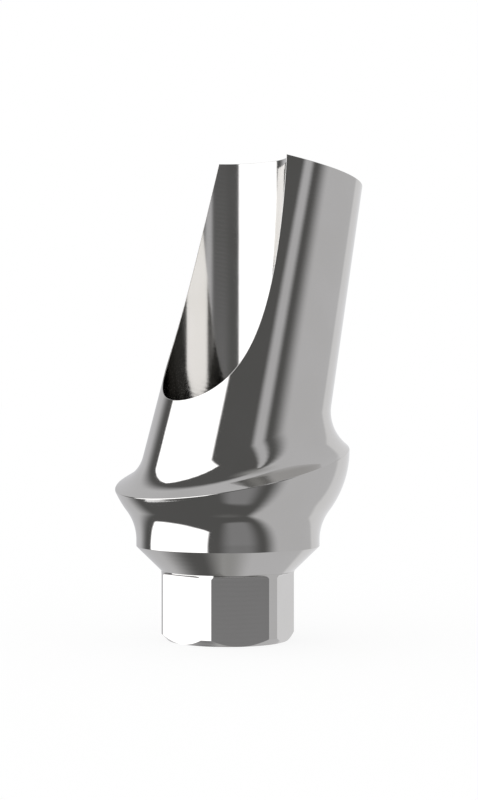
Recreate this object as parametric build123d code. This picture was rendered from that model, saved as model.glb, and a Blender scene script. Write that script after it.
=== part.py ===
from build123d import *
import os
from math import acos, cos, radians, sin, tan

# Angled dental abutment, turned and milled from one bar of titanium.
# It stands on the face of its hexagon, which is also the origin.
# +Z runs up the axis of the implant, and the post leans toward +X.

# Hexagon that enters the implant
HEX_ACROSS_FLATS = 2.42
HEX_CORNER_DIAMETER = 2.68
HEX_FLAT_LENGTH = 1.33
HEX_TOP_CORNER = 0.06
HEX_LEAD = 0.13
HEX_NECK_BAND = 0.03

# Conical seat above the hexagon, with its half angle
SEAT_HALF_ANGLE = 44.0

# Collar that comes up through the gum
NECK_DIAMETER = 3.68
NECK_BAND = 0.125
COLLAR_DIAMETER = 4.88
COLLAR_HOLLOW_RADIUS = 0.98
COLLAR_BULGE_RADIUS = 2.03

# Margin line, and the shoulder inside it that carries the edge of the crown
MARGIN_BELOW_BULGE = 0.39
MARGIN_TILT = 14.5
MARGIN_ROUND = 0.06
SHOULDER_SLOPE = 22.5
SHOULDER_FILLET = 0.85

# Post that carries the crown, leaning about a point on the implant axis
POST_LEAN = 15.0
PIVOT_BELOW_MARGIN = 0.41
POST_DIAMETER = 3.64
POST_TAPER = 2.7
POST_ROOT = 0.15
TOP_HEIGHT = 9.7
TOP_SLOPE = 15.0
EDGE_BREAK = 0.02

# Passage of the screw that holds the abutment to the implant
CHANNEL_DIAMETER = 2.5
CHANNEL_OFFSET = 0.07
HEAD_POCKET_DIAMETER = 2.18
HEAD_POCKET_BELOW_OPENING = 0.4
SHANK_HOLE_DIAMETER = 1.86
SCREW_SEAT_HEIGHT = 2.6
PASSAGE_STEP_ANGLE = 45.0

# Sizes that follow from the ones above
hex_corner_radius = HEX_CORNER_DIAMETER / 2
neck_radius = NECK_DIAMETER / 2
post_radius = POST_DIAMETER / 2
collar_radius = COLLAR_DIAMETER / 2
channel_radius = CHANNEL_DIAMETER / 2
head_pocket_radius = HEAD_POCKET_DIAMETER / 2
shank_hole_radius = SHANK_HOLE_DIAMETER / 2
seat_bottom = HEX_FLAT_LENGTH + HEX_NECK_BAND
seat_top = seat_bottom + (neck_radius - hex_corner_radius) / tan(radians(SEAT_HALF_ANGLE))
hollow_start = seat_top + NECK_BAND
ogee_turn = acos(1 - (collar_radius - neck_radius) / (COLLAR_HOLLOW_RADIUS + COLLAR_BULGE_RADIUS))
ogee_middle_radius = neck_radius + COLLAR_HOLLOW_RADIUS * (1 - cos(ogee_turn))
ogee_middle_height = hollow_start + COLLAR_HOLLOW_RADIUS * sin(ogee_turn)
bulge_height = ogee_middle_height + COLLAR_BULGE_RADIUS * sin(ogee_turn)
margin_height = bulge_height - MARGIN_BELOW_BULGE
pivot_height = margin_height - PIVOT_BELOW_MARGIN
clear = 2 * collar_radius

# Height at which the post's low side runs out into the passage
lean_sin = sin(radians(POST_LEAN))
lean_cos = cos(radians(POST_LEAN))
taper = tan(radians(POST_TAPER))
wall_run = (post_radius * lean_cos - channel_radius - CHANNEL_OFFSET) / (lean_sin + taper * lean_cos)
opening_height = pivot_height + wall_run * lean_cos + (post_radius - wall_run * taper) * lean_sin
head_pocket_top = opening_height - HEAD_POCKET_BELOW_OPENING

# The channel and the top are cut round one line, set from the implant's axis toward the low side
channel_line = Pos(-CHANNEL_OFFSET, 0, 0)


def hexagon_end():
    """Turned end of the part with its six flats, up to the conical seat."""
    outline = Polyline(
        (0, 0),
        (hex_corner_radius - HEX_LEAD, 0),
        (hex_corner_radius, HEX_LEAD),
        (hex_corner_radius, seat_bottom),
        (0, seat_bottom),
        close=True,
    )
    turned = revolve(Plane.XZ * make_face(outline), Axis.Z)
    flats = RegularPolygon(HEX_ACROSS_FLATS / 2, 6, major_radius=False, rotation=30)
    waste = extrude(Circle(clear) - flats, HEX_FLAT_LENGTH)
    inner_top_edges = waste.edges().group_by(Axis.Z)[-1].filter_by(GeomType.LINE)
    return turned - fillet(inner_top_edges, HEX_TOP_CORNER)


def turned_collar():
    """Seat cone, neck band and the S-curved collar, left tall for the margin to be cut."""
    tall = bulge_height + clear
    outline = [
        Polyline((0, seat_bottom), (hex_corner_radius, seat_bottom), (neck_radius, seat_top),
                 (neck_radius, hollow_start)),
        RadiusArc((neck_radius, hollow_start), (ogee_middle_radius, ogee_middle_height),
                  COLLAR_HOLLOW_RADIUS),
        RadiusArc((ogee_middle_radius, ogee_middle_height), (collar_radius, bulge_height),
                  -COLLAR_BULGE_RADIUS),
        Polyline((collar_radius, bulge_height), (collar_radius, tall), (0, tall), (0, seat_bottom)),
    ]
    return revolve(Plane.XZ * make_face(outline), Axis.Z)


def above_shoulder():
    """What is turned away above the margin, round an axis square to it, so the shoulder falls outward."""
    tilt = radians(MARGIN_TILT)
    margin_plane = Plane((0, 0, margin_height), z_dir=(-sin(tilt), 0, cos(tilt)))
    peak = collar_radius * tan(radians(SHOULDER_SLOPE))
    outline = Polyline(
        (0, 2 * clear),
        (0, peak),
        (clear, peak - clear * tan(radians(SHOULDER_SLOPE))),
        (clear, 2 * clear),
        close=True,
    )
    return margin_plane * revolve(Plane.XZ * make_face(outline), Axis.Z)


def collar_with_shoulder():
    """The collar cut down to its tilted margin, with the edge of the margin rounded."""
    collar = turned_collar()
    waste = above_shoulder()
    cut = collar - waste
    margin = new_edges(collar, waste, combined=cut).filter_by(GeomType.BSPLINE)
    return fillet(margin, MARGIN_ROUND)


def leaning_post():
    """Solid tapered post, cut level at its root and left tall for its top to be cut."""
    axis = Plane((0, 0, pivot_height), z_dir=(lean_sin, 0, lean_cos))
    widest = post_radius + clear * taper
    narrowest = post_radius - TOP_HEIGHT * taper
    cone = Cone(widest, narrowest, clear + TOP_HEIGHT, align=(Align.CENTER, Align.CENTER, Align.MIN))
    root = Plane.XY.offset(pivot_height - POST_ROOT)
    return split(axis * Pos(0, 0, -clear) * cone, bisect_by=root, keep=Keep.TOP)


def above_top():
    """What is turned away above the post, leaving a top that falls outward from the passage."""
    drop = clear * tan(radians(TOP_SLOPE))
    outline = Polyline(
        (0, TOP_HEIGHT + clear),
        (0, TOP_HEIGHT),
        (channel_radius, TOP_HEIGHT),
        (channel_radius + clear, TOP_HEIGHT - drop),
        (channel_radius + clear, TOP_HEIGHT + clear),
        close=True,
    )
    return channel_line * revolve(Plane.XZ * make_face(outline), Axis.Z)


def channel():
    """Bore for the screw's way in, with the cone its drill leaves, which runs out into the head's pocket."""
    foot = head_pocket_top + (channel_radius - head_pocket_radius) / tan(radians(PASSAGE_STEP_ANGLE))
    outline = Polyline(
        (0, foot - channel_radius / tan(radians(PASSAGE_STEP_ANGLE))),
        (channel_radius, foot),
        (channel_radius, TOP_HEIGHT + clear),
        (0, TOP_HEIGHT + clear),
        close=True,
    )
    return channel_line * revolve(Plane.XZ * make_face(outline), Axis.Z)


def screw_passage():
    """The channel, the pocket of the screw's head, the seat under that and the shank's hole."""
    seat_drop = (head_pocket_radius - shank_hole_radius) / tan(radians(PASSAGE_STEP_ANGLE))
    outline = Polyline(
        (0, -clear),
        (shank_hole_radius, -clear),
        (shank_hole_radius, SCREW_SEAT_HEIGHT - seat_drop),
        (head_pocket_radius, SCREW_SEAT_HEIGHT),
        (head_pocket_radius, opening_height),
        (0, opening_height),
        close=True,
    )
    return channel() + revolve(Plane.XZ * make_face(outline), Axis.Z)


def collar_and_post():
    """Collar and post in one, with the hollow curve where the post rises from the shoulder."""
    collar = collar_with_shoulder()
    post = leaning_post()
    joined = collar + post
    return fillet(new_edges(collar, post, combined=joined), SHOULDER_FILLET)


def break_sharp_edges(body):
    """Takes the sharpness off the top and off the long edge where the passage leaves the post."""
    top = body.faces().sort_by(Axis.Z)[-1]
    passage_wall = body.faces().filter_by(GeomType.CYLINDER).sort_by(SortBy.AREA)[-1]
    opening = passage_wall.edges().filter_by(GeomType.BSPLINE)
    return fillet(top.edges() + opening, EDGE_BREAK)


def abutment():
    """The whole part as one solid."""
    body = collar_and_post() + hexagon_end()
    return break_sharp_edges(body - above_top() - screw_passage())


os.makedirs("parts", exist_ok=True)
export_step(abutment(), "parts/abutment.step")
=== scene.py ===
import bpy
import numpy as np
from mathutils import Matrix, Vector


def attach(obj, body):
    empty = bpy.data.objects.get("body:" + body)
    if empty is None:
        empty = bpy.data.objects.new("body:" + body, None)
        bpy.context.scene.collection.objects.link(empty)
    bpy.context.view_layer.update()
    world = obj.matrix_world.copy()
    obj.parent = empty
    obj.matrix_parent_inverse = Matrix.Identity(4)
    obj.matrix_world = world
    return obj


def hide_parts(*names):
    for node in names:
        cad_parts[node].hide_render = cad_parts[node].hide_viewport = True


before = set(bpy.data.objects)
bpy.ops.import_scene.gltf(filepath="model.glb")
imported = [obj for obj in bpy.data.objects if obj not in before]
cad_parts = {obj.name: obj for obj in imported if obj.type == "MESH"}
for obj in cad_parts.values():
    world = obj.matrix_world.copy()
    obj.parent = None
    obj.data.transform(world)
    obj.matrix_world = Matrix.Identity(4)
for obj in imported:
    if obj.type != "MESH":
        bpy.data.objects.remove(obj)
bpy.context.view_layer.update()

# Hexagon that enters the implant: six flats milled on the turned end of the bar, with
# turned corners left between them and a lead turned at the foot. Sizes are in millimetres.
HEX_APOTHEM = 1.21
HEX_CORNER_RADIUS = 1.34
FLAT_TOP = 1.375
FLAT_TOP_CORNER = 0.06
SHANK_HOLE_RADIUS = 0.93
SHANK_HOLE_TOP = 2.44
FLAT_COLUMNS = 24
CORNER_COLUMNS = 8

skin = []


def lay(points, normals):
    """Keeps one stretch of the surface: a grid of points with its outward normals."""
    skin.append((np.array(points, float), np.broadcast_to(normals, np.shape(points)).astype(float)))


def turned(radius, height, angle):
    """Points at a radius and a height round the implant's axis."""
    radius, height, angle = np.broadcast_arrays(radius, height, angle)
    return np.stack([radius * np.cos(angle), radius * np.sin(angle), height], -1)


def steps(first, last, count):
    """A column of rows from one value or line of values to another."""
    share = np.linspace(0, 1, count + 1)[:, None]
    return first + share * (np.asarray(last) - first)


half_flat = np.arccos(HEX_APOTHEM / HEX_CORNER_RADIUS)
across = np.linspace(-1, 1, FLAT_COLUMNS + 1) * HEX_APOTHEM * np.tan(half_flat)
rim = np.sqrt(HEX_CORNER_RADIUS**2 - across**2)
lead_top = np.hypot(HEX_APOTHEM, across) - HEX_APOTHEM
corner_lead_top = HEX_CORNER_RADIUS - HEX_APOTHEM
widest_sweep = np.arccos(np.clip(1 - (rim - HEX_APOTHEM) / FLAT_TOP_CORNER, 0, 1))
sweep = steps(0 * across, widest_sweep, 6)
root_reach = HEX_APOTHEM + FLAT_TOP_CORNER * (1 - np.cos(sweep))
root_height = FLAT_TOP - FLAT_TOP_CORNER * (1 - np.sin(sweep))
neck_ring = []
foot_ring = []
for side in range(-3, 3):
    facing = side * np.pi / 3
    turn = np.array([[np.cos(facing), np.sin(facing), 0], [-np.sin(facing), np.cos(facing), 0], [0, 0, 1]])

    def on_flat(reach, height):
        return np.stack([reach + 0 * height, np.broadcast_to(across, np.shape(height)), height], -1) @ turn

    lay(on_flat(HEX_APOTHEM, steps(lead_top, FLAT_TOP - FLAT_TOP_CORNER, 3)), np.array([1, 0, 0]) @ turn)
    lay(on_flat(root_reach, root_height), np.stack([np.cos(sweep), 0 * sweep, -np.sin(sweep)], -1) @ turn)
    lay(np.stack([on_flat(root_reach[-1], root_height[-1]), on_flat(rim, root_height[-1])]), [0, 0, -1])
    over_flat = facing + np.arctan2(across, rim)
    lay(turned(HEX_CORNER_RADIUS, steps(root_height[-1], FLAT_TOP, 1), over_flat), turned(1, 0, over_flat))
    corner = facing + np.linspace(half_flat, np.pi / 3 - half_flat, CORNER_COLUMNS + 1)
    wall_rows = np.append(steps(corner_lead_top, FLAT_TOP - FLAT_TOP_CORNER, 3), [[FLAT_TOP]], 0)
    lay(turned(HEX_CORNER_RADIUS, wall_rows, corner), turned(1, 0, corner))
    flat_foot = facing + np.arctan2(across, HEX_APOTHEM)
    for ring, top in ((flat_foot, lead_top), (corner, corner_lead_top + 0 * corner)):
        level = steps(0 * top, top, 2)
        lay(turned(HEX_APOTHEM + level, level, ring), turned(np.sqrt(0.5), -np.sqrt(0.5), ring))
        lay(turned(steps(SHANK_HOLE_RADIUS + 0 * ring, HEX_APOTHEM, 1), 0, ring), [0, 0, -1])
        lay(turned(SHANK_HOLE_RADIUS, steps(0 * ring, SHANK_HOLE_TOP, 1), ring), turned(-1, 0, ring))
        foot_ring.extend(ring[:-1])
    neck_ring.extend(over_flat[:-1])
    neck_ring.extend(corner[:-1])

# Seat and collar: a cone that beds on the implant, a short band, and an S-curve that
# widens the part up through the gum. All of it is turned about the implant's axis.
SEAT_BOTTOM = 1.39
SEAT_TOP = 1.8778
NECK_RADIUS = 1.84
SEAT_HALF_ANGLE = np.radians(44)
NECK_EDGE_ROUND = 0.012
HOLLOW_START = 2.0028
HOLLOW_RADIUS = 0.98
BULGE_RADIUS = 2.03
COLLAR_RADIUS = 2.44
COLUMNS = 360
COLLAR_ROWS = 44

ogee_turn = np.arccos(1 - (COLLAR_RADIUS - NECK_RADIUS) / (HOLLOW_RADIUS + BULGE_RADIUS))
hollow_length = HOLLOW_RADIUS * ogee_turn
bulge_length = BULGE_RADIUS * ogee_turn
bulge_height = HOLLOW_START + (HOLLOW_RADIUS + BULGE_RADIUS) * np.sin(ogee_turn)


def collar_profile(run):
    """Radius, height and lean of the collar's outline at a distance along it from the neck."""
    hollow_lean = run / HOLLOW_RADIUS
    bulge_lean = ogee_turn - (run - hollow_length) / BULGE_RADIUS
    lean = np.clip(np.where(run < hollow_length, hollow_lean, bulge_lean), 0, ogee_turn)
    straight = np.clip(run - hollow_length - bulge_length, 0, None)
    in_hollow = run < hollow_length
    radius = np.where(
        in_hollow,
        NECK_RADIUS + HOLLOW_RADIUS * (1 - np.cos(lean)),
        COLLAR_RADIUS - BULGE_RADIUS * (1 - np.cos(lean)),
    )
    height = np.where(
        in_hollow,
        HOLLOW_START + HOLLOW_RADIUS * np.sin(lean),
        bulge_height - BULGE_RADIUS * np.sin(lean) + straight,
    )
    return radius, height, lean


def collar_skin(run, angle):
    """Points and normals of the turned collar."""
    radius, height, lean = collar_profile(run)
    return turned(radius, height, angle), turned(np.cos(lean), -np.sin(lean), angle)


# Margin and shoulder: the collar is milled off to a tilted cone that carries the edge of
# the crown, and its rim, the margin, is rounded. The axis of the cone leans toward -X. The
# light catches only the middle of the rounding, so its normals turn only there.
MARGIN_HEIGHT = 3.4161
MARGIN_TILT = np.radians(14.5)
MARGIN_ROUND = 0.06
SHOULDER_SLOPE = np.radians(22.5)
MARGIN_ROWS = 8
RIM_SAMPLES = 1440

margin_axis = np.array([-np.sin(MARGIN_TILT), 0, np.cos(MARGIN_TILT)])
margin_centre = np.array([0, 0, MARGIN_HEIGHT])


def solve(rising, low, high, rounds=46):
    """Where a rising function crosses zero between two bounds, for all columns at once."""
    for _ in range(rounds):
        middle = (low + high) / 2
        over = rising(middle) > 0
        low, high = np.where(over, low, middle), np.where(over, middle, high)
    return (low + high) / 2


def from_shoulder(points):
    """Distance above the shoulder's cone, and the cone's normal there."""
    offset = points - margin_centre
    rise = offset @ margin_axis
    outward = offset - rise[..., None] * margin_axis
    reach = np.linalg.norm(outward, axis=-1)
    distance = (rise - (COLLAR_RADIUS - reach) * np.tan(SHOULDER_SLOPE)) * np.cos(SHOULDER_SLOPE)
    outward = outward / reach[..., None]
    return distance, np.cos(SHOULDER_SLOPE) * margin_axis + np.sin(SHOULDER_SLOPE) * outward


def between(first, last, share):
    """Directions on the way from one to another, at an even turn."""
    turn_angle = np.arccos(np.clip(np.sum(first * last, -1), -1, 1))[..., None]
    turn_angle = np.maximum(turn_angle, 1e-9)
    return (np.sin((1 - share) * turn_angle) * first + np.sin(share * turn_angle) * last) / np.sin(turn_angle)


def rounded_margin(angle):
    """Centre line of the margin's rounding, and its directions to the collar and the shoulder."""

    def above(run):
        points, normals = collar_skin(run, angle)
        return from_shoulder(points - MARGIN_ROUND * normals)[0] + MARGIN_ROUND

    run = solve(above, 0 * angle, 0 * angle + hollow_length + bulge_length + COLLAR_RADIUS)
    points, normals = collar_skin(run, angle)
    centre = points - MARGIN_ROUND * normals
    return run, centre, normals, from_shoulder(centre)[1]


rim_angle = np.linspace(-np.pi, np.pi, RIM_SAMPLES + 1)
_, rim_core, _, rim_normal = rounded_margin(rim_angle)
rim_line = rim_core + MARGIN_ROUND * rim_normal

# Post that carries the crown: a tapered cone that leans toward +X, with a wide hollow
# curve between it and the shoulder, as the ball of the milling tool leaves it.
POST_LEAN = np.radians(15)
POST_TAPER = np.radians(2.7)
POST_RADIUS = 1.82
PIVOT_HEIGHT = 3.0061
BLEND_RADIUS = 0.85
BLEND_ROWS = 20
SHOULDER_ROWS = 3
POST_ROWS = 8

post_axis = np.array([np.sin(POST_LEAN), 0, np.cos(POST_LEAN)])
post_front = np.array([np.cos(POST_LEAN), 0, -np.sin(POST_LEAN)])
pivot = np.array([0, 0, PIVOT_HEIGHT])


def post_skin(run, angle):
    """Points and normals of the post, at a distance along its axis and an angle from +X."""
    run, angle = np.broadcast_arrays(run, angle)
    spoke = np.cos(angle)[..., None] * post_front + np.sin(angle)[..., None] * np.array([0, 1, 0])
    radius = POST_RADIUS - run * np.tan(POST_TAPER)
    points = pivot + run[..., None] * post_axis + radius[..., None] * spoke
    return points, np.cos(POST_TAPER) * spoke + np.sin(POST_TAPER) * post_axis


def resting(centre):
    """Distance of a ball's centre from the shoulder or, past its edge, from the rounded margin."""
    distance, normal = from_shoulder(centre)
    foot = centre - distance[..., None] * normal
    foot_angle = np.arctan2(foot[:, 1], foot[:, 0])
    rim_reach = np.interp(foot_angle, rim_angle, np.hypot(rim_line[:, 0], rim_line[:, 1]))
    past = np.hypot(foot[:, 0], foot[:, 1]) > rim_reach
    start, span = rim_core[:-1], np.diff(rim_core, axis=0)
    offset = centre[:, None] - start
    along = np.clip(np.sum(offset * span, -1) / np.sum(span * span, -1), 0, 1)
    gaps = np.linalg.norm(offset - along[..., None] * span, axis=-1)
    nearest = np.argmin(gaps, 1)
    picked = np.arange(len(centre))
    on_core = start[nearest] + along[picked, nearest, None] * span[nearest]
    away = np.where(past, np.sign(distance) * (gaps[picked, nearest] - MARGIN_ROUND), distance)
    return away, np.where(past[:, None], on_core, foot - MARGIN_ROUND * normal), past


column = np.linspace(-1, 1, COLUMNS + 1)
post_angle = np.pi * column


def ball_centre(run):
    points, normals = post_skin(run, post_angle)
    return points + BLEND_RADIUS * normals


def ball_above(run):
    """How far a ball on the post still is from touching the shoulder."""
    return resting(ball_centre(run))[0] - BLEND_RADIUS


blend_run = solve(ball_above, 0 * column - 0.5, 0 * column + 3.0, 34)
centre = ball_centre(blend_run)
_, core, past_rim = resting(centre)
collar_angle = np.arctan2(core[:, 1], core[:, 0])
collar_angle[0], collar_angle[-1] = -np.pi, np.pi
to_post = (post_skin(blend_run, post_angle)[0] - centre) / BLEND_RADIUS
to_core = (core - centre) / np.linalg.norm(core - centre, axis=-1)[:, None]
share = np.linspace(0, 1, BLEND_ROWS + 1)[:, None, None]
inward = between(to_post, to_core, share)
lay(centre + BLEND_RADIUS * inward, -inward)

margin_run, margin_core, to_collar, to_shoulder = rounded_margin(collar_angle)
share = np.linspace(0, 1, MARGIN_ROWS + 1)[:, None, None]
upper_side = np.where(past_rim[:, None], -to_core, to_shoulder)
rounding = between(upper_side, to_collar, share)
crisp = between(upper_side, to_collar, np.clip(4 * share - 1.5, 0, 1))
margin_edge = margin_core + MARGIN_ROUND * rounding
blend_edge = centre + BLEND_RADIUS * inward[-1]
margin_edge[0, past_rim] = blend_edge[past_rim]
lay(margin_edge, crisp)
share = np.linspace(0, 1, SHOULDER_ROWS + 1)[:, None, None]
strip = blend_edge + share * (margin_edge[0] - blend_edge)
lifted, strip_normal = from_shoulder(strip)
lifted[0], lifted[-1], lifted[:, past_rim] = 0, 0, 0
lay(strip - lifted[..., None] * strip_normal, strip_normal)
lay(*collar_skin(steps(margin_run, 0, COLLAR_ROWS), collar_angle))

edge_sweep = steps(0 * column, SEAT_HALF_ANGLE, 4)
edge_height = SEAT_TOP + NECK_EDGE_ROUND * np.tan(SEAT_HALF_ANGLE / 2)
edge_normal = turned(np.cos(edge_sweep), -np.sin(edge_sweep), collar_angle)
edge_points = turned(
    NECK_RADIUS - NECK_EDGE_ROUND * (1 - np.cos(edge_sweep)),
    edge_height - NECK_EDGE_ROUND * np.sin(edge_sweep),
    collar_angle,
)
neck_rows = steps(HOLLOW_START + 0 * column, edge_height, 1)
lay(turned(NECK_RADIUS, neck_rows, collar_angle), turned(1, 0, collar_angle))
lay(edge_points, edge_normal)
seat_foot = turned(HEX_CORNER_RADIUS, SEAT_BOTTOM, collar_angle)
lay(steps(edge_points[-1].ravel(), seat_foot.ravel(), 4).reshape(5, -1, 3), edge_normal[-1])

# Screw passage: a channel for the screw's way in, cut straight down beside the implant's
# axis, so that the leaning post opens on its low side. Under it are the head's pocket and seat.
CHANNEL_RADIUS = 1.25
CHANNEL_LINE = np.array([-0.07, 0, 0])
POCKET_RADIUS = 1.09
POCKET_TOP = 4.4495
POCKET_BOTTOM = 2.6
EDGE_BREAK = 0.01
TOP_HEIGHT = 9.7
TOP_SLOPE = np.radians(15)
OPENING_ROWS = 56
BREAK_ROWS = 4
TOP_ROWS = 4

break_reach = CHANNEL_RADIUS + EDGE_BREAK


def break_centre(run, angle):
    """Centre of the small ball that breaks an edge of the post, just under its skin."""
    points, normals = post_skin(run, angle)
    return points - EDGE_BREAK * normals


def round_channel(points):
    """Distance from the channel's line, and the angle round it."""
    offset = points - CHANNEL_LINE
    return np.hypot(offset[..., 0], offset[..., 1]), np.arctan2(offset[..., 1], offset[..., 0])


def past_channel(run, angle):
    return round_channel(break_centre(run, angle))[0] - break_reach


def top_normal(points):
    return turned(np.sin(TOP_SLOPE), np.cos(TOP_SLOPE), round_channel(points)[1])


def above_top(points):
    """Distance above the top, which is a shallow cone round the channel's line."""
    rise = points[..., 2] - TOP_HEIGHT + (round_channel(points)[0] - CHANNEL_RADIUS) * np.tan(TOP_SLOPE)
    return rise * np.cos(TOP_SLOPE)


def opening_angle(run):
    """Angle on the post at which its wall runs out into the channel."""
    return solve(lambda angle: -past_channel(run, angle), np.pi / 2 + 0 * run, np.pi + 0 * run)


def clear_of_top(run, angle):
    return above_top(break_centre(run, angle)) + EDGE_BREAK


tip_run = float(solve(lambda run: -past_channel(run, np.pi), np.array(0.5), np.array(3.0)))
horn_run = float(solve(lambda run: clear_of_top(run, opening_angle(run)), np.array(5.0), np.array(9.0)))
horn_angle = float(opening_angle(np.array(horn_run)))
top_angle = horn_angle * column
top_run = solve(lambda run: clear_of_top(run, top_angle), 0 * column + 5.0, 0 * column + 9.0)

opening_share = np.linspace(0, 1, OPENING_ROWS + 1) ** 1.8
opening_run = tip_run + opening_share * (horn_run - tip_run)
opening = opening_angle(opening_run)
opening[0] = np.pi
start_run = blend_run + tip_run - blend_run[0]
lay(*post_skin(steps(blend_run, start_run, POST_ROWS), post_angle))
row_angle = opening[:, None] * column
row_start = np.interp(row_angle, post_angle, start_run)
row_top = solve(lambda run: clear_of_top(run, row_angle), 0 * row_angle + 5.0, 0 * row_angle + 9.0)
risen = (opening_run - row_start[:, -1]) / (row_top[:, -1] - row_start[:, -1])
lay(*post_skin(row_start + risen[:, None] * (row_top - row_start), row_angle))

wall_ball = break_centre(opening_run, opening)
wall_angle = round_channel(wall_ball)[1]
wall_angle[0] = np.pi
channel_angle = wall_angle[:, None] * column
channel_height = wall_ball[:, 2][:, None] + 0 * column
lay(CHANNEL_LINE + turned(CHANNEL_RADIUS, channel_height, channel_angle), turned(-1, 0, channel_angle))
ring = np.pi * column
foot_height = POCKET_TOP + CHANNEL_RADIUS - POCKET_RADIUS
below_opening = steps(foot_height + 0 * ring, channel_height[0], 4)
lay(CHANNEL_LINE + turned(CHANNEL_RADIUS, below_opening, ring), turned(-1, 0, ring))
aside = CHANNEL_LINE[0]
pocket_reach = np.sqrt(POCKET_RADIUS**2 - (aside * np.sin(ring)) ** 2) - aside * np.cos(ring)
drill_cone = steps(CHANNEL_RADIUS + 0 * ring, pocket_reach, 2)
cone_rows = CHANNEL_LINE + turned(drill_cone, foot_height - CHANNEL_RADIUS + drill_cone, ring)
lay(cone_rows, turned(-np.sqrt(0.5), np.sqrt(0.5), ring))
pocket_angle = np.arctan2(cone_rows[-1, :, 1], cone_rows[-1, :, 0])
pocket_angle[0], pocket_angle[-1] = -np.pi, np.pi
pocket_rows = steps(cone_rows[-1, :, 2], POCKET_BOTTOM, 4)
lay(turned(POCKET_RADIUS, pocket_rows, pocket_angle), turned(-1, 0, pocket_angle))

# Edges of the post: where the channel leaves the wall, and all round the top, they are
# broken by a hair, which shows as a thin bright line.
TURN_STEPS = 2 * BREAK_ROWS + TOP_ROWS

to_wall = post_skin(opening_run, opening)[1]
to_channel = turned(-1, 0, wall_angle)
share = np.linspace(0, 1, TURN_STEPS + 1)[:, None, None]
strip = between(to_wall, to_channel, share)
mirror = np.array([1, -1, 1])
for flip in (1, mirror):
    lay((wall_ball + EDGE_BREAK * strip) * flip, strip * flip)

outer_ball = break_centre(top_run, top_angle)
outer_normal = post_skin(top_run, top_angle)[1]
inner_height = TOP_HEIGHT - EDGE_BREAK * np.tan(TOP_SLOPE) - EDGE_BREAK / np.cos(TOP_SLOPE)
top_channel_angle = wall_angle[-1] * column
inner_ball = CHANNEL_LINE + turned(break_reach, inner_height, top_channel_angle)
share = np.linspace(0, 1, BREAK_ROWS + 1)[:, None, None]
outer_turn = between(outer_normal, top_normal(outer_ball), share)
inner_turn = between(top_normal(inner_ball), turned(-1, 0, top_channel_angle), share)
outer_rim = outer_ball + EDGE_BREAK * outer_turn
inner_rim = inner_ball + EDGE_BREAK * inner_turn
outer_reach, outer_angle = round_channel(outer_rim[-1])
face_reach = steps(outer_reach, round_channel(inner_rim[0])[0], TOP_ROWS)
face_height = TOP_HEIGHT - (face_reach - CHANNEL_RADIUS) * np.tan(TOP_SLOPE)
top_face = CHANNEL_LINE + turned(face_reach, face_height, steps(outer_angle, top_channel_angle, TOP_ROWS))
top_face[0], top_face[-1] = outer_rim[-1], inner_rim[0]
over_top = np.concatenate([outer_turn, top_normal(top_face[1:-1]), inner_turn])
lay(np.concatenate([outer_rim, top_face[1:-1], inner_rim]), over_top)

horn_over = np.concatenate([outer_turn[:, -1], top_normal(top_face[1:-1, -1]), inner_turn[:, -1]])
horn_round = strip[:, -1]
share = np.linspace(0, 1, BREAK_ROWS + 1)[:, None, None]
horn = horn_round + share * (horn_over - horn_round)
horn = horn / np.linalg.norm(horn, axis=-1)[..., None]
for flip in (1, mirror):
    lay((wall_ball[-1] + EDGE_BREAK * horn) * flip, horn * flip)

# The whole body: the stretches of surface are joined into one closed skin. The rings of
# the hexagon and of the collar have their own columns, and a zigzag of faces joins them.
WELD = 1e-5

corners = []
corner_normals = []
faces = []
places = {}


def corner_at(point):
    key = tuple(np.round(point / WELD).astype(np.int64))
    if key not in places:
        places[key] = len(corners)
        corners.append(point)
    return places[key]


def add_face(points, normals):
    """Adds one face with its outward side out, and skips it where it has no area."""
    across_it = np.cross(points[1] - points[0], points[2] - points[0])
    if len(points) == 4:
        across_it = np.cross(points[2] - points[0], points[3] - points[1])
    order = range(len(points)) if across_it @ sum(normals) > 0 else range(len(points) - 1, -1, -1)
    marks = [corner_at(points[i]) for i in order]
    kept = [k for k in range(len(marks)) if marks[k] != marks[k - 1]]
    if len(kept) < 3:
        return
    order = list(order)
    faces.append([marks[k] for k in kept])
    corner_normals.extend(normals[order[k]] for k in kept)


for points, normals in skin:
    for row in range(len(points) - 1):
        for place in range(points.shape[1] - 1):
            quad = [(row, place), (row, place + 1), (row + 1, place + 1), (row + 1, place)]
            add_face([points[q] for q in quad], [normals[q] for q in quad])


def zigzag(first, second, first_ring, second_ring, normal):
    """Joins two rings that have columns of their own, such as the hexagon's and the collar's."""
    rings = []
    for ring_angles, place in ((first_ring, first), (second_ring, second)):
        ordered = sorted((angle + np.pi) % (2 * np.pi) - np.pi for angle in ring_angles)
        ordered.append(ordered[0] + 2 * np.pi)
        rings.append(([place(angle) for angle in ordered], ordered))
    (one, one_angles), (two, two_angles) = rings
    i = j = 0
    while i < len(one) - 1 or j < len(two) - 1:
        step_one = j == len(two) - 1 or (i < len(one) - 1 and one_angles[i + 1] <= two_angles[j + 1])
        points = [one[i], two[j], one[i + 1] if step_one else two[j + 1]]
        angles = [one_angles[i], two_angles[j], one_angles[i + 1] if step_one else two_angles[j + 1]]
        add_face(points, [normal(angle) for angle in angles])
        i, j = (i + 1, j) if step_one else (i, j + 1)


zigzag(
    lambda angle: turned(HEX_CORNER_RADIUS, FLAT_TOP, angle),
    lambda angle: turned(HEX_CORNER_RADIUS, SEAT_BOTTOM, angle),
    neck_ring,
    collar_angle[:-1],
    lambda angle: turned(1, 0, angle),
)
zigzag(
    lambda angle: turned(SHANK_HOLE_RADIUS, SHANK_HOLE_TOP, angle),
    lambda angle: turned(POCKET_RADIUS, POCKET_BOTTOM, angle),
    foot_ring,
    pocket_angle[:-1],
    lambda angle: turned(-np.sqrt(0.5), np.sqrt(0.5), angle),
)

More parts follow.
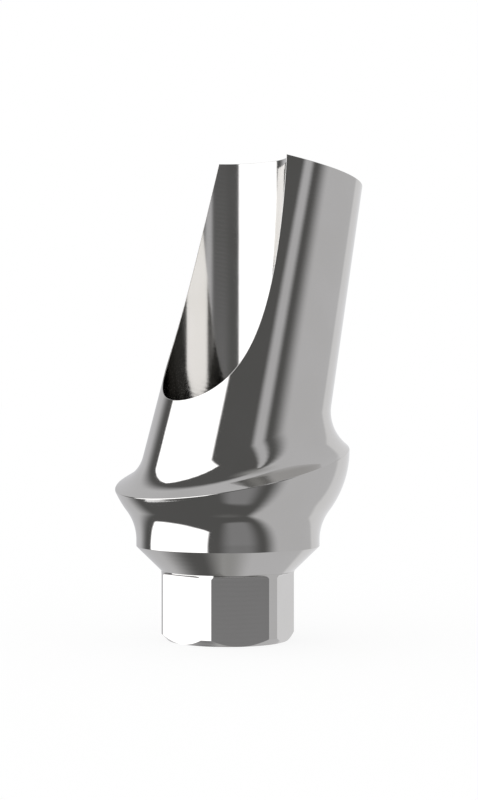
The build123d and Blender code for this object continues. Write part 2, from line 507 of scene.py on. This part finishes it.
mesh = bpy.data.meshes.new("abutment_body")
mesh.from_pydata([Vector(point) * 0.001 for point in corners], [], faces)
mesh.shade_smooth()
mesh.normals_split_custom_set([tuple(normal) for normal in corner_normals])
body = bpy.data.objects.new("abutment_body", mesh)
bpy.context.scene.collection.objects.link(body)
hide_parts("abutment")
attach(body, "root")

# Titanium: turned and milled from one bar, then polished to a mirror. Under the polish the
# tool's fine rings are still there, with hairlines from handling, so that the reflections
# aren't quite perfect. Depths and the pitch of the rings are in millimetres.


class Shade:
    """A value in a node tree, to be worked on with ordinary signs."""

    def __init__(self, tree, socket=None):
        self.tree = tree
        self.socket = socket

    def node(self, kind, values=(), output=0, **settings):
        """Adds a node with its settings, its input values or links, and gives one output."""
        made = self.tree.nodes.new(kind)
        for name, setting in settings.items():
            setattr(made, name, setting)
        for place, value in dict(values).items():
            if isinstance(value, Shade):
                self.tree.links.new(value.socket, made.inputs[place])
            else:
                made.inputs[place].default_value = value
        return Shade(self.tree, made.outputs[output] if made.outputs else None)

    def math(self, operation, *values):
        return self.node("ShaderNodeMath", enumerate(values), operation=operation)

    def __add__(self, other):
        return self.math("ADD", self, other)

    def __radd__(self, other):
        return self.math("ADD", other, self)

    def __sub__(self, other):
        return self.math("SUBTRACT", self, other)

    def __rsub__(self, other):
        return self.math("SUBTRACT", other, self)

    def __mul__(self, other):
        return self.math("MULTIPLY", self, other)

    def __rmul__(self, other):
        return self.math("MULTIPLY", other, self)

    def __truediv__(self, other):
        return self.math("DIVIDE", self, other)

    def __rtruediv__(self, other):
        return self.math("DIVIDE", other, self)

    def between(self, low, high, first=0.0, last=1.0):
        """Goes smoothly from one level to another while this value goes from low to high."""
        values = {"Value": self, "From Min": low, "From Max": high, "To Min": first, "To Max": last}
        return self.node("ShaderNodeMapRange", values, interpolation_type="SMOOTHSTEP")

    def mix(self, first, last):
        """A colour that this value leads from one to another."""
        return self.node("ShaderNodeMix", {0: self, 6: first, 7: last}, 2, data_type="RGBA")


RING_PITCH = 0.09
RING_DEPTH = 3e-5
EXTRA_DEPTH_IN_PASSAGE = 6e-5
WAVE_DEPTH = 6e-4
HAIRLINE_DEPTH = 3e-5
LIGHTER_TITANIUM = (0.63, 0.62, 0.602, 1)
DARKER_TITANIUM = (0.61, 0.6, 0.578, 1)

material = bpy.data.materials.new("polished titanium")
material.use_nodes = True
metal = Shade(material.node_tree)
place = metal.node("ShaderNodeTexCoord", output="Object")
place = metal.node("ShaderNodeVectorMath", {0: place, 1: (1000, 1000, 1000)}, operation="MULTIPLY")
side_x = metal.node("ShaderNodeSeparateXYZ", {0: place})
side_y = metal.node("ShaderNodeSeparateXYZ", {0: place}, 1)
up = metal.node("ShaderNodeSeparateXYZ", {0: place}, 2)
off_line = side_x - CHANNEL_LINE[0]
from_line = metal.math("SQRT", off_line * off_line + side_y * side_y)


def mottle(scale, detail=2.0, stretch=(1, 1, 1)):
    """Even noise round 0.5, drawn out along an axis where a stretch is less than 1."""
    spot = metal.node("ShaderNodeVectorMath", {0: place, 1: stretch}, operation="MULTIPLY")
    return metal.node("ShaderNodeTexNoise", {"Vector": spot, "Scale": scale, "Detail": detail}, "Fac")


on_post = (side_x * margin_axis[0] + (up - MARGIN_HEIGHT) * margin_axis[2]).between(-0.01, 0.01)
travel = up + on_post * (side_x * post_axis[0] + up * (post_axis[2] - 1))
rings = metal.math("SINE", travel * (2 * np.pi / RING_PITCH) + mottle(1.1) * 7)
hairlines = mottle(45, 1.0, (1, 1, 0.03)).between(0.66, 0.74)
hairlines = hairlines + mottle(38, 1.0, (0.04, 0.04, 1)).between(0.67, 0.75)
in_passage = metal.math("LESS_THAN", from_line, CHANNEL_RADIUS + 0.0005) * up.between(0.01, 0.02)
relief = rings * (RING_DEPTH + in_passage * EXTRA_DEPTH_IN_PASSAGE)
relief = relief + mottle(2.2) * WAVE_DEPTH - hairlines * HAIRLINE_DEPTH
shader = material.node_tree.nodes["Principled BSDF"]
shader.inputs["Metallic"].default_value = 1.0
finish = {
    "Base Color": mottle(0.7, 3.0).between(0.3, 0.7).mix(LIGHTER_TITANIUM, DARKER_TITANIUM),
    "Roughness": 0.045 + mottle(1.6, 3.0) * 0.03 + hairlines * 0.02 + in_passage * 0.05,
    "Normal": metal.node("ShaderNodeBump", {"Height": relief, "Strength": 1.0, "Distance": 0.001}),
}
for place_in, value in finish.items():
    material.node_tree.links.new(value.socket, shader.inputs[place_in])
mesh.materials.append(material)

# Studio: white all round for the floor. The metal sees a plain room, with pale walls to the
# right and behind, dark cloth to the left and in front, and a few soft-edged lamps and panels
# of one level each. Angles go round from the camera's right, and the camera itself is at 270.
AIM = np.radians(41.7)
WHITE = (1, 1, 1, 1)
PALE_WALL = (0.65, 0.65, 0.67, 1)
DARK_CLOTH = (0.12, 0.12, 0.12, 1)
TABLE_AND_CEILING = (0.4, 0.4, 0.4, 1)
SOFTBOX = (2.0, 2.0, 2.05, 1)
BACK_LAMP = (0.85, 0.85, 0.87, 1)
STRIP_LAMP = (0.6, 0.6, 0.62, 1)
WINDOW = (0.3, 0.3, 0.31, 1)
UNLIT = (0.08, 0.08, 0.08, 1)

world = bpy.data.worlds.new("studio")
bpy.context.scene.world = world
world.use_nodes = True
world.node_tree.nodes.clear()
sky = Shade(world.node_tree)
toward = sky.node("ShaderNodeTexCoord")
toward = sky.node("ShaderNodeVectorRotate", {"Vector": toward, "Angle": AIM}, rotation_type="Z_AXIS")
to_right = sky.node("ShaderNodeSeparateXYZ", {0: toward})
to_back = sky.node("ShaderNodeSeparateXYZ", {0: toward}, 1)
upward = sky.node("ShaderNodeSeparateXYZ", {0: toward}, 2)
around = sky.math("FRACT", sky.math("ARCTAN2", to_back, to_right) / (2 * np.pi) + 1) * 360
height = sky.math("ARCSINE", upward) * (180 / np.pi)


def inside(value, low, high, soft):
    """Whether a value is between two edges, which are blurred."""
    return value.between(low - soft, low + soft) * value.between(high - soft, high + soft, 1.0, 0.0)


def with_panel(room, angle, sides, ends, soft, colour):
    """The room with a flat lamp hung square to one direction, sized for a distance of 1."""
    angle = np.radians(angle)
    ahead = to_right * np.cos(angle) + to_back * np.sin(angle)
    aside = (to_back * np.cos(angle) - to_right * np.sin(angle)) / ahead
    panel = inside(aside, *sides, soft) * inside(upward / ahead, *ends, soft) * ahead.between(0.0, 0.02)
    return panel.mix(room, colour)


pale = around.between(125, 150, 1.0, 0.0) + around.between(315, 338)
room = pale.mix(DARK_CLOTH, PALE_WALL)
room = inside(height, -80, 84, 8).mix(TABLE_AND_CEILING, room)
room = with_panel(room, 62, (-0.45, 0.6), (-0.7, 0.8), 0.07, BACK_LAMP)
room = with_panel(room, 285, (-0.35, 0.35), (-1.8, 0.0), 0.2, WINDOW)
room = with_panel(room, 302, (-0.12, 0.12), (0.0, 6.0), 0.08, STRIP_LAMP)
room = with_panel(room, 203, (-1.0, 0.9), (-1.0, 1.4), 0.06, SOFTBOX)

bounces = sky.node("ShaderNodeLightPath", output="Glossy Depth")
room = sky.math("GREATER_THAN", bounces, 2.5).mix(room, UNLIT)
on_metal = sky.node("ShaderNodeLightPath", output="Is Glossy Ray")
background = sky.node("ShaderNodeBackground", {0: on_metal.mix(WHITE, room)})
sky.node("ShaderNodeOutputWorld", {0: background})

# Floor: a plain white sheet, almost as bright as the backdrop, so that only a faint shadow of
# the part shows on it. The metal sees the room through it.
FLOOR_DROP = 2e-6
SHADOW_SHARE = 0.15

floor_corners = [(-1, -1, -FLOOR_DROP), (1, -1, -FLOOR_DROP), (1, 1, -FLOOR_DROP), (-1, 1, -FLOOR_DROP)]
floor_mesh = bpy.data.meshes.new("floor")
floor_mesh.from_pydata(floor_corners, [], [(0, 1, 2, 3)])
floor = bpy.data.objects.new("floor", floor_mesh)
bpy.context.scene.collection.objects.link(floor)
floor.visible_glossy = False
paint = bpy.data.materials.new("floor")
paint.use_nodes = True
paint.node_tree.nodes.clear()
ground = Shade(paint.node_tree)
lit = ground.node("ShaderNodeEmission", {"Color": WHITE, "Strength": 1.0})
matt = ground.node("ShaderNodeBsdfDiffuse", {"Color": WHITE})
sheet = ground.node("ShaderNodeMixShader", {0: SHADOW_SHARE, 1: lit, 2: matt})
ground.node("ShaderNodeOutputMaterial", {0: sheet})
floor_mesh.materials.append(paint)

# Camera: level, at half the part's height, and turned from the plane in which the post leans
# to where the opening of the passage shows on the left. Lengths are in pixels of the photo,
# each as long as PIXEL on the implant's axis.
PIXEL = 0.0201e-3
LENS_DEPTH = 1818
LENS_ASIDE = 11
LENS_HEIGHT = 238.9
PHOTO_HEIGHT = 800
forward = Vector((np.sin(AIM), np.cos(AIM), 0))
right = Vector((np.cos(AIM), -np.sin(AIM), 0))
camera_data = bpy.data.cameras.new("camera")
camera = bpy.data.objects.new("camera", camera_data)
bpy.context.scene.collection.objects.link(camera)
lens_place = right * LENS_ASIDE - forward * LENS_DEPTH + Vector((0, 0, LENS_HEIGHT))
camera.location = lens_place * PIXEL
camera.rotation_euler = (np.radians(90), 0, -AIM)
camera_data.sensor_width = 36
camera_data.lens = camera_data.sensor_width * LENS_DEPTH / PHOTO_HEIGHT
camera_data.clip_start = 0.001
camera_data.clip_end = 10
bpy.context.scene.camera = camera
bpy.context.scene.view_settings.view_transform = "Standard"
